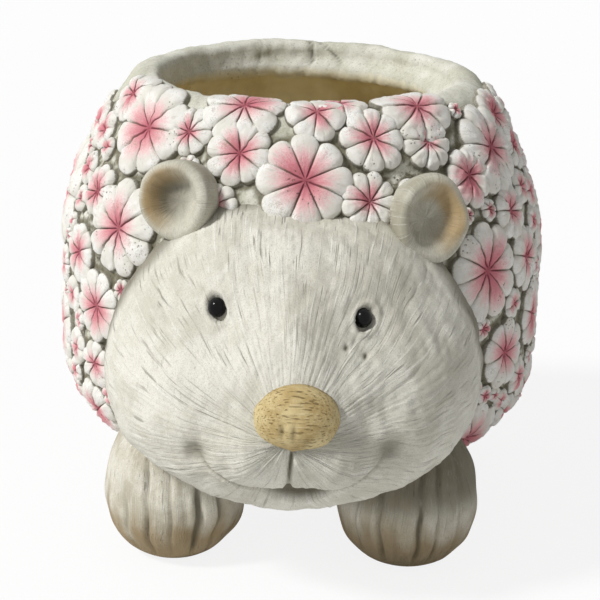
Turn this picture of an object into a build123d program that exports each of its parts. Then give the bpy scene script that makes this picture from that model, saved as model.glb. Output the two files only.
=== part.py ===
"""A hedgehog planter cast in pale cement, with a coat of petalled flowers in place of spines.

The frame: +Z is up, the face looks along -Y, +X is the right-hand side as the face is seen from the front,
and the origin lies on the ground, midway between the ends and the sides of the object. Millimetres.
"""

from build123d import *
from math import atan, atan2, copysign, cos, degrees, pi, radians, sin, tan
import os

# Pot: a barrel that swells to its equator and closes in to the rim above and to the belly below
barrel_radius = 95.0
equator_height = 100.0
belly_height = 20.0
belly_radius = 45.0
rim_height = 178.0
rim_radius = 66.0
shoulder_exponent = 2.2
belly_exponent = 4.9
ground_sides = 32
ground_ring_shares = (0.0, 0.25, 0.50, 0.70, 0.86, 1.0)

# Planting space: a rounded lip that rises from the rim, a round neck, then a wider cavity
mouth_radius = 58.0
neck_depth = 13.0
lip_rise = 3.5
lip_draw_shares = ((0.0, 0.0), (0.5, 0.15), (0.85, 0.5), (1.0, 1.0))
lip_bevel = 2.0
wall = 11.0
floor_thickness = 12.0
cavity_ring_shares = (0.0, 0.60, 0.88, 1.0)
drain_radius = 6.0
drain_bevel = 1.5

# Head: rings that shrink and sink from the coat to the tip of the muzzle, widest in the cheeks
cheek_half_width = 69.0
brow_half_height = 56.0
jaw_half_height = 52.0
head_root_reach = 62.0
head_base_reach = 85.0
head_length = 61.5
muzzle_height = 74.0
head_rise = 20.0
head_blunt_power = 0.72
head_sink_power = 1.4
cheek_swell_share = 0.21
cheek_round_share = 0.1
head_ring_shares = (0.0, 0.30, 0.54, 0.73, 0.88, 0.97)
head_sides = 28

# Mouth: an arc of a smile with a short upright line to the nose
mouth_depth = 2.2
mouth_line = 2.8
smile_half_width = 31.0
smile_middle_height = 53.0
smile_corner_height = 66.0

# Nose: a rounded knob on the end of the muzzle
nose_half_width = 16.0
nose_half_height = 13.0
nose_length = 12.0
nose_root = 8.0
nose_height = 83.5
nose_tip_reach = 151.0
nose_sides = 16
nose_draw_shares = ((0.0, 0.0), (0.35, 0.0), (0.75, 0.20), (1.0, 0.48))

# Eyes: round beads, each sunk in the face
eye_radius = 3.8
eye_length = 7.0
eye_proud = 1.8
eye_spread = 26.6
eye_height = 114.5
eye_sides = 12
eye_draw_shares = ((0.0, 0.0), (0.72, 0.0), (0.9, 0.2), (1.0, 0.45))

# Ears: round cups that stand where the brow meets the coat
ear_half_width = 14.0
ear_half_height = 15.5
ear_thickness = 10.0
left_ear_spread = 43.0
right_ear_spread = 50.0
ear_height = 142.0
ear_front_reach = 91.0
ear_splay = 24.0
ear_tilt = 14.0
ear_cup_depth = 5.0
ear_rim_share = 0.34
ear_sides = 20
ear_draw_shares = ((0.0, 0.0), (0.7, 0.0), (1.0, 0.14))
ear_back_depth = 9.0
ear_back_draw_shares = ((0.0, 0.0), (1.0, 0.3))
ear_cup_draw_shares = ((0.0, 0.0), (1.0, 0.4))

# Paws: upright rounded blocks with toes parted by grooves
front_paw_half_width = 28.5
front_paw_half_length = 27.0
front_paw_height = 62.0
front_paw_spread = 45.0
front_paw_reach = 74.0
rear_paw_half_width = 24.0
rear_paw_half_length = 27.0
rear_paw_height = 50.0
rear_paw_spread = 46.0
rear_paw_setback = 54.0
paw_sides = 20
paw_widest_height = 24.0
paw_draw_shares = ((0.0, 0.0), (0.30, 0.03), (0.70, 0.20), (1.0, 0.52))
sole_draw_shares = ((0.0, 0.0), (0.42, 0.07), (0.76, 0.22), (1.0, 0.47))
toe_groove_depth = 3.0
toe_groove_width = 4.5
toe_groove_shares = (-0.52, 0.0, 0.52)

# Coat: blooms with tapered petals, parted down to just above the ground they stand on
bloom_radius = 17.0
petal_height = 4.4
petal_parting = 0.8
petal_root = 9.0
petal_draft = 15.0
petal_tip_shares = ((0.82, 1.0), (1.0, 0.42), (1.0, -0.42), (0.82, -1.0))

# Blooms that frame the face: azimuth from the face in degrees, share of the coat's height, share of the
# bloom radius, and petals
face_bloom_shares = (
    (-91.5, 0.928, 0.52, 6),
    (-85.8, 0.680, 1.10, 8),
    (-80.2, 0.347, 0.93, 8),
    (-76.5, 0.185, 0.50, 6),
    (-65.6, 0.945, 0.53, 6),
    (-63.2, 0.565, 0.53, 6),
    (-59.7, 0.769, 0.49, 6),
    (-59.4, 0.178, 0.66, 7),
    (-54.8, 0.318, 0.49, 6),
    (-53.2, 0.470, 0.67, 7),
    (-48.4, 0.913, 0.75, 7),
    (-47.2, 0.665, 0.94, 8),
    (-32.1, 0.905, 0.43, 6),
    (-19.0, 0.968, 0.48, 6),
    (-17.2, 0.863, 0.52, 6),
    (-0.2, 0.848, 0.76, 7),
    (1.8, 0.973, 0.44, 6),
    (12.6, 0.965, 0.28, 6),
    (15.6, 0.816, 0.50, 6),
    (19.4, 0.908, 0.44, 6),
    (35.5, 0.875, 0.40, 6),
    (36.9, 0.968, 0.46, 6),
    (45.4, 0.812, 0.52, 6),
    (46.8, 0.599, 1.00, 8),
    (47.7, 0.165, 0.82, 7),
    (55.2, 0.372, 0.74, 7),
    (59.8, 0.716, 0.54, 6),
    (60.5, 0.856, 0.73, 7),
    (65.1, 0.592, 0.63, 7),
    (72.2, 0.427, 0.74, 7),
    (73.4, 0.942, 0.53, 6),
    (76.6, 0.212, 0.70, 7),
    (78.0, 0.840, 0.44, 6),
    (84.3, 0.598, 0.62, 7),
)

# Rows round the back, each set between those above and below it, and the lowest clear of the rear paws: share
# of the coat's height, share of the bloom radius, petals, first azimuth, degrees from one to the next, count
rear_row_shares = (
    (0.945, 0.48, 6, 96.0, 27.0, 6),
    (0.810, 0.95, 8, 109.5, 27.0, 6),
    (0.670, 0.60, 6, 96.0, 27.0, 6),
    (0.530, 1.06, 8, 109.5, 27.0, 6),
    (0.390, 0.62, 6, 96.0, 27.0, 7),
    (0.250, 1.00, 8, 109.5, 27.0, 6),
    (0.105, 0.50, 6, 96.0, 81.0, 3),
)
coat_zones = (
    ("brow_flowers", -42.0, 42.0),
    ("right_flank_flowers", 42.0, 95.0),
    ("right_rear_flowers", 95.0, 150.0),
    ("rump_flowers", 150.0, 210.0),
    ("left_rear_flowers", 210.0, 265.0),
    ("left_flank_flowers", 265.0, 318.0),
)

# One overrun serves every cut that runs past what it cuts
overrun = 2.0

# The pot's axis stands behind the origin, so that nose and rump lie equally far from it
axis_setback = (nose_tip_reach - barrel_radius - petal_height) / 2
pot_axis = Plane((0, axis_setback, 0))


def ground_radius(height):
    """Radius of the barrel: a power curve from the equator to the rim, and another down to the belly."""
    if height > equator_height:
        share = (height - equator_height) / (rim_height - equator_height)
        return barrel_radius - (barrel_radius - rim_radius) * share**shoulder_exponent
    share = (equator_height - height) / (equator_height - belly_height)
    return barrel_radius - (barrel_radius - belly_radius) * share**belly_exponent


def ground_tilt(height):
    """Angle by which the barrel's surface faces upwards at a height, from the slope of its power curves."""
    if height > equator_height:
        span = rim_height - equator_height
        fall = barrel_radius - rim_radius
        share = (height - equator_height) / span
        return atan(shoulder_exponent * fall / span * share ** (shoulder_exponent - 1))
    span = equator_height - belly_height
    fall = barrel_radius - belly_radius
    share = (equator_height - height) / span
    return -atan(belly_exponent * fall / span * share ** (belly_exponent - 1))


def drawn_stack(half_width, half_height, sides, levels):
    """An ellipse of flats on the ground plane, carried up through levels of height and inward draw."""
    turns = [2 * pi * (side + 0.5) / sides for side in range(sides)]
    with BuildSketch() as outline:
        with BuildLine():
            Polyline(*[(half_width * cos(turn), half_height * sin(turn)) for turn in turns], close=True)
        make_face()
    with BuildPart() as form:
        end_face = outline.sketch.face()
        for (low, before), (high, after) in zip(levels, levels[1:]):
            extrude(end_face, amount=high - low, taper=degrees(atan2(after - before, high - low)))
            end_face = form.faces().sort_by(Axis.Z)[-1]
    return form.part


def swelling(place, half_width, half_height, sides, front_levels, back_levels):
    """A rounded form that is widest on its place's plane and is drawn in before and behind it."""
    with BuildPart() as form:
        add(drawn_stack(half_width, half_height, sides, back_levels))
        mirror(about=Plane.XY, mode=Mode.REPLACE)
        add(drawn_stack(half_width, half_height, sides, front_levels))
    return form.part.moved(place.location)


def levels_of(length, half_width, draw_shares):
    """Levels of a stack: heights as shares of its length, draws as shares of its half width."""
    return [(length * high, half_width * draw) for high, draw in draw_shares]


def turned(bottom, top, ring_shares, inset):
    """The barrel from one height to another in bands of flats, all lying inside the ground by the inset."""
    radius = barrel_radius - inset
    above = [equator_height + (top - equator_height) * share for share in ring_shares]
    below = [equator_height + (bottom - equator_height) * share for share in ring_shares]
    return swelling(
        pot_axis.offset(equator_height),
        radius,
        radius,
        ground_sides,
        [(height - equator_height, barrel_radius - ground_radius(height)) for height in above],
        [(equator_height - height, barrel_radius - ground_radius(height)) for height in below],
    )


def forward_plane(reach, height):
    """A plane that looks forwards, at a reach in front of the pot's axis and a height above the ground."""
    return Plane((0, axis_setback - reach, height), x_dir=(1, 0, 0), z_dir=(0, -1, 0))


def skin(rings):
    """A solid with a skin of flats: two triangles between neighbours on two rings, and a flat at each end."""
    flats = [Face(Wire.make_polygon(rings[0])), Face(Wire.make_polygon(rings[-1]))]
    for near, far in zip(rings, rings[1:]):
        for side in range(len(near)):
            beside = (side + 1) % len(near)
            flats.append(Face(Wire.make_polygon([near[side], near[beside], far[beside]])))
            flats.append(Face(Wire.make_polygon([near[side], far[beside], far[side]])))
    return Solid(Shell(flats))


def head_ring(reach, share, inset):
    """A ring round the head at a share of its length: a sine across that is fuller below, a cosine up."""
    shrink = (1 - share**2) ** head_blunt_power
    middle = muzzle_height + head_rise * (1 - share) ** head_sink_power
    ring = []
    for side in range(head_sides):
        turn = 2 * pi * (side + 0.5) / head_sides
        half_height = brow_half_height if cos(turn) > 0 else jaw_half_height
        across = copysign(abs(sin(turn)) ** (1 - cheek_round_share * (1 - cos(turn))), sin(turn))
        across = across * (1 - cheek_swell_share * cos(turn))
        x = (cheek_half_width - inset) * across * shrink
        z = middle + (half_height - inset) * cos(turn) * shrink
        ring.append((x, axis_setback - reach, z))
    return ring


def head_form(inset):
    """The head from its root in the coat to the tip of the muzzle, drawn in all round by the inset."""
    length = head_length - inset
    rings = [head_ring(head_base_reach + length * share, share, inset) for share in head_ring_shares]
    return skin([head_ring(head_root_reach, 0, inset), *rings])


def bloom_form(radius, petals):
    """A bloom on its own axis: tapered petals in a ring, fused where they meet."""
    half_angle = pi / petals
    corners = [(radius * reach, half_angle * side) for reach, side in petal_tip_shares]
    with BuildPart() as petal:
        with BuildSketch(Plane.XY.offset(-petal_root)):
            with BuildLine():
                Polyline((0, 0), *[(r * cos(turn), r * sin(turn)) for r, turn in corners], close=True)
            make_face()
            offset(amount=(petal_root + petal_parting) * tan(radians(petal_draft)), kind=Kind.INTERSECTION)
        extrude(amount=petal_root + petal_height, taper=petal_draft)
    with BuildPart() as bloom:
        with PolarLocations(0, petals):
            add(petal.part)
    return bloom.part


def bloom_seat(azimuth, height, spin):
    """The place of a bloom: square on the ground at an azimuth and a height, turned by its spin."""
    turn = radians(azimuth)
    tilt = ground_tilt(height)
    reach = ground_radius(height)
    seat = Plane(
        (reach * sin(turn), axis_setback - reach * cos(turn), height),
        x_dir=(cos(turn), sin(turn), 0),
        z_dir=(sin(turn) * cos(tilt), -cos(turn) * cos(tilt), sin(tilt)),
    )
    return seat.location * Rotation(0, 0, spin)


def coat_blooms():
    """Every bloom as azimuth, height, radius, petals and spin: those round the face, then the rear rows."""
    rows = list(face_bloom_shares)
    for height_share, radius_share, petals, first, apart, count in rear_row_shares:
        for step in range(count):
            rows.append((first + apart * step, height_share, radius_share, petals))
    blooms = []
    for azimuth, height_share, radius_share, petals in rows:
        height = belly_height + (rim_height - belly_height) * height_share
        spin = azimuth * petals % (360 / petals)
        blooms.append((azimuth, height, bloom_radius * radius_share, petals, spin))
    return blooms


# The solid barrel, which the head, paws and coat are all cut to
barrel = turned(belly_height, rim_height, ground_ring_shares, 0)
cavity_floor = belly_height + floor_thickness
cavity = turned(cavity_floor, rim_height - neck_depth, cavity_ring_shares, wall)

# Pot shell: the barrel with its lip, less the cavity, the neck and the drain hole
with BuildPart() as pot_shell:
    add(barrel)
    lip_levels = levels_of(lip_rise, lip_rise, lip_draw_shares)
    for (low, before), (high, after) in zip(lip_levels, lip_levels[1:]):
        rim_face = pot_shell.faces().sort_by(Axis.Z)[-1]
        extrude(rim_face, amount=high - low, taper=degrees(atan2(after - before, high - low)))
    add(cavity, mode=Mode.SUBTRACT)
    with Locations(pot_axis.offset(rim_height + lip_rise)):
        Hole(mouth_radius, depth=lip_rise + neck_depth)
    with Locations(pot_axis.offset(cavity_floor)):
        Hole(drain_radius, depth=floor_thickness)
    mouth_edge = pot_shell.edges().filter_by(GeomType.CIRCLE).group_by(Axis.Z)[-1]
    chamfer(mouth_edge, lip_bevel)
    drain_edge = pot_shell.edges().filter_by(GeomType.CIRCLE).group_by(Axis.Z)[0]
    chamfer(drain_edge, drain_bevel)

# Mouth groove: the smile and its upright line, as deep as the skin between the head and an inset head
with BuildPart() as smile:
    with BuildSketch(forward_plane(head_base_reach, 0)):
        with BuildLine(mode=Mode.PRIVATE) as lips:
            ThreePointArc(
                (-smile_half_width, smile_corner_height),
                (0, smile_middle_height),
                (smile_half_width, smile_corner_height),
            )
        SlotArc(lips.edge(), mouth_line)
        with Locations((0, (smile_middle_height + nose_height) / 2)):
            Rectangle(mouth_line, nose_height - smile_middle_height)
    extrude(amount=nose_tip_reach - head_base_reach)
    add(head_form(mouth_depth), mode=Mode.SUBTRACT)
head_solid = head_form(0)

# Nose
nose_knob = swelling(
    forward_plane(nose_tip_reach - nose_length, nose_height),
    nose_half_width,
    nose_half_height,
    nose_sides,
    levels_of(nose_length, nose_half_width, nose_draw_shares),
    [(0, 0), (nose_root, 0)],
)

# Eye beads: each seat is found where a level line through the eye's height meets the face
eye_beads = {}
for side in (-1, 1):
    gaze = Axis((side * eye_spread, axis_setback - nose_tip_reach, eye_height), (0, 1, 0))
    spot, outward = head_solid.find_intersection_points(gaze)[0]
    eye_beads[side] = swelling(
        Plane(spot, z_dir=outward).offset(eye_proud - eye_length),
        eye_radius,
        eye_radius,
        eye_sides,
        levels_of(eye_length, eye_radius, eye_draw_shares),
        [(0, 0), (eye_radius, eye_radius / 2)],
    )

# Ears: cups turned outwards by the splay and upwards by the tilt
ear_cups = {}
for side, spread in ((-1, left_ear_spread), (1, right_ear_spread)):
    ear_front = Plane(
        (side * spread, axis_setback - ear_front_reach, ear_height),
        x_dir=(cos(radians(ear_splay)), side * sin(radians(ear_splay)), 0),
        z_dir=(side * sin(radians(ear_splay)), -cos(radians(ear_splay)), sin(radians(ear_tilt))),
    )
    cup_half_width = ear_half_width * (1 - ear_rim_share)
    cup_half_height = ear_half_height * (1 - ear_rim_share)
    with BuildPart() as ear:
        add(
            swelling(
                ear_front.offset(-ear_thickness),
                ear_half_width,
                ear_half_height,
                ear_sides,
                levels_of(ear_thickness, ear_half_width, ear_draw_shares),
                levels_of(ear_back_depth, ear_half_width, ear_back_draw_shares),
            )
        )
        cup = swelling(
            ear_front,
            cup_half_width,
            cup_half_height,
            ear_sides,
            [(0, 0), (overrun, 0)],
            levels_of(ear_cup_depth, cup_half_width, ear_cup_draw_shares),
        )
        add([cup, barrel], mode=Mode.SUBTRACT)
    ear_cups[side] = ear.part

# Head: cut to the barrel, the ears, the nose and the eyes that seat on it
with BuildPart() as head:
    add(head_solid)
    seated = [nose_knob, *eye_beads.values(), *ear_cups.values()]
    add([barrel, smile.part, *seated], mode=Mode.SUBTRACT)


def paw_form(middle, half_width, half_length, height, toes):
    """A paw on the ground round its middle, with toe grooves in the side that its toes point to."""
    with BuildPart() as paw:
        ground_spot = Plane((middle[0], middle[1], 0))
        add(
            swelling(
                ground_spot.offset(paw_widest_height),
                half_width,
                half_length,
                paw_sides,
                levels_of(height - paw_widest_height, half_width, paw_draw_shares),
                levels_of(paw_widest_height, half_width, sole_draw_shares),
            )
        )
        with BuildSketch(ground_spot):
            for share in toe_groove_shares:
                across = half_width * share
                edge = toes * half_length * (1 - share**2) ** 0.5
                with BuildLine():
                    Polyline(
                        (across, edge - toes * toe_groove_depth),
                        (across - toe_groove_width / 2, edge + toes * overrun),
                        (across + toe_groove_width / 2, edge + toes * overrun),
                        close=True,
                    )
                make_face()
        extrude(amount=height, mode=Mode.SUBTRACT)
        add([barrel, head_solid], mode=Mode.SUBTRACT)
    return paw.part


# Export of each piece
pieces = {"pot_shell": pot_shell.part, "head": head.part, "nose": nose_knob}
for side, hand in ((-1, "left"), (1, "right")):
    pieces[f"{hand}_eye"] = eye_beads[side]
    pieces[f"{hand}_ear"] = ear_cups[side]
    pieces[f"front_{hand}_paw"] = paw_form(
        (side * front_paw_spread, axis_setback - front_paw_reach),
        front_paw_half_width,
        front_paw_half_length,
        front_paw_height,
        -1,
    )
    pieces[f"rear_{hand}_paw"] = paw_form(
        (side * rear_paw_spread, axis_setback + rear_paw_setback),
        rear_paw_half_width,
        rear_paw_half_length,
        rear_paw_height,
        1,
    )

# Coat: one group of blooms for each zone, cut to the barrel, the rim and what they meet
bloom_forms = {}
zone_blooms = {name: [] for name, first, last in coat_zones}
for azimuth, height, radius, petals, spin in coat_blooms():
    if (radius, petals) not in bloom_forms:
        bloom_forms[radius, petals] = bloom_form(radius, petals)
    bloom = bloom_forms[radius, petals].moved(bloom_seat(azimuth, height, spin))
    for name, first, last in coat_zones:
        if first <= azimuth < last or first <= azimuth + 360 < last:
            zone_blooms[name].append(bloom)

with BuildPart() as above_rim:
    with BuildSketch(pot_axis.offset(rim_height)):
        Circle(barrel_radius)
    extrude(amount=bloom_radius)

obstacles = [piece for name, piece in pieces.items() if name not in ("pot_shell", "nose")]
for name, blooms in zone_blooms.items():
    with BuildPart() as coat:
        add(blooms)
        add([barrel, above_rim.part, *obstacles], mode=Mode.SUBTRACT)
    pieces[name] = coat.part

os.makedirs("parts", exist_ok=True)
for name, piece in pieces.items():
    piece.label = name
    export_step(piece, f"parts/{name}.step")
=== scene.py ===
"""A hedgehog planter in washed cement, with painted blooms for spines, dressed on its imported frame.

Metres, +Z up, the face looks along -Y. Left and right are as the face is seen from the front. Surfaces are
numpy grids, and every finish is worked out from nodes.
"""

import bpy
import numpy as np
from mathutils import Matrix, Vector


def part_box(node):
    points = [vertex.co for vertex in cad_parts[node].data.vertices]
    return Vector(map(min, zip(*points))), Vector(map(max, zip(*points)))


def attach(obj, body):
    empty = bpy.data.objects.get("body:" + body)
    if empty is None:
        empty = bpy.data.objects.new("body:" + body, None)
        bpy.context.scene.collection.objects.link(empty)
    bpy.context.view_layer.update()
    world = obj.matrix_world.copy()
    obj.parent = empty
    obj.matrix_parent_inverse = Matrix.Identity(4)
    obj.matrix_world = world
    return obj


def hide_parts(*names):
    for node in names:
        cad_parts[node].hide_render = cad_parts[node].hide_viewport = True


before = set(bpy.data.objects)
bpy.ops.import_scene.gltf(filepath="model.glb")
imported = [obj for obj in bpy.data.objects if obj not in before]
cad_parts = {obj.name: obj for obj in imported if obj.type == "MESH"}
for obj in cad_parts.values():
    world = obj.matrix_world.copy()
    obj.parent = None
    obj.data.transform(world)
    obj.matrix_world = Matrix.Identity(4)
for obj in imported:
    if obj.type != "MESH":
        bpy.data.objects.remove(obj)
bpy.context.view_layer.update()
mm = 0.001

# The pot's axis and heights come from the frame
pot_low, pot_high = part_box("pot_shell")
axis_y = (pot_low.y + pot_high.y) / 2
belly_height = pot_low.z

# Barrel under the coat of blooms, with its ground raised between them
ground_proud = 1.5 * mm
barrel_girth = 94.6 * mm + ground_proud
equator_height = 100 * mm
rim_height = 178 * mm
rim_girth = 65.6 * mm
belly_girth = 44.6 * mm
shoulder_power = 2.2
belly_power = 4.9

# Camera, with its angles in degrees: fitted to the ellipse of the mouth and to the soles of the paws
camera_reach = 750 * mm
camera_height = 308.2 * mm
camera_yaw = 1.3
camera_pitch = 16.84
camera_roll = 1.5
camera_field = 18.19


# Small helpers for arrays

def ease(low, high, value):
    """A cubic S from 0 at low to 1 at high, whichever of them is larger, and level beyond them."""
    share = np.clip((value - low) / (high - low), 0, 1)
    return share * share * (3 - 2 * share)


def hump(offset, width):
    """A bell, 1 where the offset is zero, that falls to 1/e at the width."""
    return np.exp(-((offset / width) ** 2))


def murmur(seed, size, *lengths, waves=10):
    """Smooth noise from about -1 to 1: a sum of sine waves of seeded direction and phase, each about as long
    as the size."""
    draw = np.random.default_rng(seed)
    total = 0
    for _ in range(waves):
        turn = draw.normal(size=len(lengths)) * 2 * np.pi / size / len(lengths) ** 0.5
        phase = draw.uniform(0, 2 * np.pi)
        total = total + np.sin(sum(t * length for t, length in zip(turn, lengths)) + phase)
    return total / (waves / 2) ** 0.5 / 1.6


def turns(count):
    """Angles evenly round a circle."""
    return np.linspace(0, 2 * np.pi, count, endpoint=False)


def lengths(points):
    """Length up to each point of a line."""
    return np.concatenate([[0], np.cumsum(np.linalg.norm(np.diff(points, axis=0), axis=1))])


def through(points, count):
    """A smooth line through given points: a Catmull-Rom cubic on each span, evenly divided."""
    points = np.array(points, float)
    ends = np.vstack([2 * points[0] - points[1], points, 2 * points[-1] - points[-2]])
    place = np.linspace(0, len(points) - 1 - 1e-9, count)
    span = place.astype(int)
    t = (place - span)[:, None]
    a, b, c, d = (ends[span + k] for k in range(4))
    return b + t / 2 * (c - a + t * (2 * a - 5 * b + 4 * c - d + t * (3 * b - a - 3 * c + d)))


# Meshes from grids of points

def ring_faces(rings, columns, looped=False):
    """Four-sided faces between neighbouring rings of points, closed round, and first to last where looped."""
    ring, column = np.meshgrid(np.arange(rings if looped else rings - 1), np.arange(columns), indexing="ij")
    ring, column = ring.ravel(), column.ravel()
    after, beside = (ring + 1) % rings, (column + 1) % columns
    here, there = ring * columns, after * columns
    return np.stack([here + column, here + beside, there + beside, there + column], 1)


def fan_faces(pole, first, columns, flipped):
    """Three-sided faces from a pole to the ring that starts at first."""
    column = np.arange(columns)
    beside = (column + 1) % columns
    order = (beside, column) if flipped else (column, beside)
    return np.stack([np.full(columns, pole), first + order[0], first + order[1]], 1)


def closed_form(rings):
    """Points and faces of rings closed at both ends by poles, where a pole is its end ring's middle."""
    count, columns = rings.shape[:2]
    points = np.vstack([rings.reshape(-1, 3), rings[0].mean(0), rings[-1].mean(0)])
    first_pole, last_pole = count * columns, count * columns + 1
    fans = [fan_faces(first_pole, 0, columns, True), fan_faces(last_pole, (count - 1) * columns, columns, False)]
    return points, ring_faces(count, columns), np.vstack(fans)


def enclosed(points, quads, triangles):
    """Six times the volume inside the faces, which is negative where they point inwards."""
    fans = [quads[:, [0, 1, 2]], quads[:, [0, 2, 3]], triangles]
    a, b, c = (points[np.vstack(fans)[:, k]] for k in range(3))
    return np.einsum("ij,ij->", a, np.cross(b, c))


def linked(name, data):
    """An object of that data, in the scene."""
    made = bpy.data.objects.new(name, data)
    bpy.context.scene.collection.objects.link(made)
    return made


def make_piece(name, points, quads, triangles, traits, finish, replaced, slot):
    """A smooth mesh object in place of CAD nodes, with one attribute for each trait."""
    if enclosed(points, quads, triangles) < 0:
        quads, triangles = quads[:, ::-1], triangles[:, ::-1]
    mesh = bpy.data.meshes.new(name)
    mesh.from_pydata(points.tolist(), [], quads.tolist() + triangles.tolist())
    mesh.polygons.foreach_set("use_smooth", np.ones(len(mesh.polygons), bool))
    for trait, values in traits.items():
        flat = values.ndim == 1
        layer = mesh.attributes.new(trait, "FLOAT" if flat else "FLOAT_VECTOR", "POINT")
        layer.data.foreach_set("value" if flat else "vector", values.astype(np.float32).ravel())
    mesh.materials.append(finish)
    mesh.update()
    piece = linked(name, mesh)
    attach(piece, "root")
    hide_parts(*replaced)


def with_poles(values):
    """A trait on rings, of numbers or vectors, with the mean of each end ring for the poles."""
    return np.concatenate([values.reshape(-1, *values.shape[2:]), [values[0].mean(0), values[-1].mean(0)]])


def closed_piece(name, rings, traits, finish, replaced, slot):
    """A piece of rings closed at both ends, whose traits are given on the rings."""
    traits = {trait: with_poles(values) for trait, values in traits.items()}
    make_piece(name, *closed_form(rings), traits, finish, replaced, slot)


def outward(rings):
    """Unit normals of a closed-round grid, from the differences between its neighbours, away from its middle."""
    around = np.roll(rings, -1, 1) - np.roll(rings, 1, 1)
    along = np.gradient(rings, axis=0)
    normal = np.cross(around, along)
    normal = normal * np.sign((normal * (rings - rings.mean((0, 1)))).sum())
    return normal / np.maximum(np.linalg.norm(normal, axis=2, keepdims=True), 1e-12)


# Node trees

class Sum:
    """A node's output, on which the operators of arithmetic make Math nodes."""

    def __init__(self, tree, socket):
        self.tree = tree
        self.socket = socket

    def maths(self, operation, *values):
        """A Math node of that operation on the values, numbers or sums."""
        made = self.tree.nodes.new("ShaderNodeMath")
        made.operation = operation
        for port, value in zip(made.inputs, values):
            feed(self.tree, port, value)
        return Sum(self.tree, made.outputs[0])

    def __add__(self, other):
        return self.maths("ADD", self, other)

    def __sub__(self, other):
        return self.maths("SUBTRACT", self, other)

    def __rsub__(self, other):
        return self.maths("SUBTRACT", other, self)

    def __mul__(self, other):
        return self.maths("MULTIPLY", self, other)

    def __truediv__(self, other):
        return self.maths("DIVIDE", self, other)

    __radd__ = __add__
    __rmul__ = __mul__

    def ease(self, low, high):
        """The same S as the function ease, in nodes."""
        if low > high:
            return 1 - self.ease(high, low)
        share = self.maths("MAXIMUM", self.maths("MINIMUM", (self - low) / (high - low), 1.0), 0.0)
        return share * share * (3 - 2 * share)


def feed(tree, port, value):
    """Links a sum to a port, or sets the port to a plain value."""
    if isinstance(value, Sum):
        tree.links.new(value.socket, port)
    else:
        port.default_value = value


def tint(code):
    """A colour written as six hexadecimal digits, made linear."""
    share = np.array([int(code[k : k + 2], 16) / 255 for k in (0, 2, 4)])
    linear = np.where(share <= 0.04045, share / 12.92, ((share + 0.055) / 1.055) ** 2.4)
    return (*linear, 1.0)


class Tree:
    """A node tree whose ports are fed from sums."""

    def __init__(self, tree):
        self.tree = tree

    def node(self, kind, settings=(), ports=(), output=0):
        """Any node but Math: its type, its settings, what feeds its ports, and which output is read."""
        made = self.tree.nodes.new("ShaderNode" + kind)
        for name, value in dict(settings).items():
            setattr(made, name, value)
        for name, value in dict(ports).items():
            feed(self.tree, made.inputs[name], value)
        return Sum(self.tree, made.outputs[output])

    def seen_plainly(self):
        """1 for rays from the camera, straight or by way of metal or glass."""
        kinds = ("Is Camera Ray", "Is Glossy Ray", "Is Transmission Ray")
        straight, gloss, through_glass = (self.node("LightPath", output=kind) for kind in kinds)
        return straight.maths("MINIMUM", straight + gloss + through_glass, 1.0)


class Finish(Tree):
    """A material and its shader. Colours are sums, or codes of six hexadecimal digits."""

    def __init__(self, name, gloss):
        self.material = bpy.data.materials.new(name)
        self.material.use_nodes = True
        super().__init__(self.material.node_tree)
        self.shader = self.tree.nodes["Principled BSDF"]
        self.shader.inputs["Specular IOR Level"].default_value = gloss

    def place(self):
        """The piece's own coordinates, in metres."""
        return self.node("TexCoord", output="Object")

    def trait(self, name, kind="Fac"):
        """An attribute of the mesh."""
        return self.node("Attribute", {"attribute_name": name}, output=kind)

    def stretched(self, vector, scales):
        """A vector times a scale on each axis."""
        return self.node("VectorMath", {"operation": "MULTIPLY"}, {0: vector, 1: scales})

    def cloud(self, vector, size, detail=3.0, rough=0.55, warp=0.0):
        """Noise from about 0 to 1, in features of a size in metres."""
        ports = {"Vector": vector, "Scale": 1 / size, "Detail": detail, "Roughness": rough, "Distortion": warp}
        return self.node("TexNoise", (), ports)

    def mix(self, share, first, second):
        """A colour between two, by a share."""
        first, second = (tint(colour) if isinstance(colour, str) else colour for colour in (first, second))
        return self.node("Mix", {"data_type": "RGBA"}, {0: share, 6: first, 7: second}, output=2)

    def washed(self, colour, *washes):
        """A colour under washes laid one on another, each a share and a colour."""
        for share, wash in washes:
            colour = self.mix(share, colour, wash)
        return colour

    def finished(self, colour, roughness, relief, depth):
        """Feeds the shader, with the relief as a bump of that depth in metres."""
        feed(self.tree, self.shader.inputs["Base Color"], colour)
        feed(self.tree, self.shader.inputs["Roughness"], roughness)
        bump = self.node("Bump", (), {"Height": relief, "Strength": 1.0, "Distance": depth})
        feed(self.tree, self.shader.inputs["Normal"], bump)
        return self.material


# Finishes

def specks_on(paint, place, size, amount):
    """Small dark pits: the middles of cells, kept where a wider cloud allows them."""
    middles = paint.node("TexVoronoi", (), {"Vector": place, "Scale": 1 / size})
    pits = middles.ease(0.26, 0.12)
    return pits * paint.cloud(place, 9 * size, 2.0).ease(1 - amount, 1.06 - amount)


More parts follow.
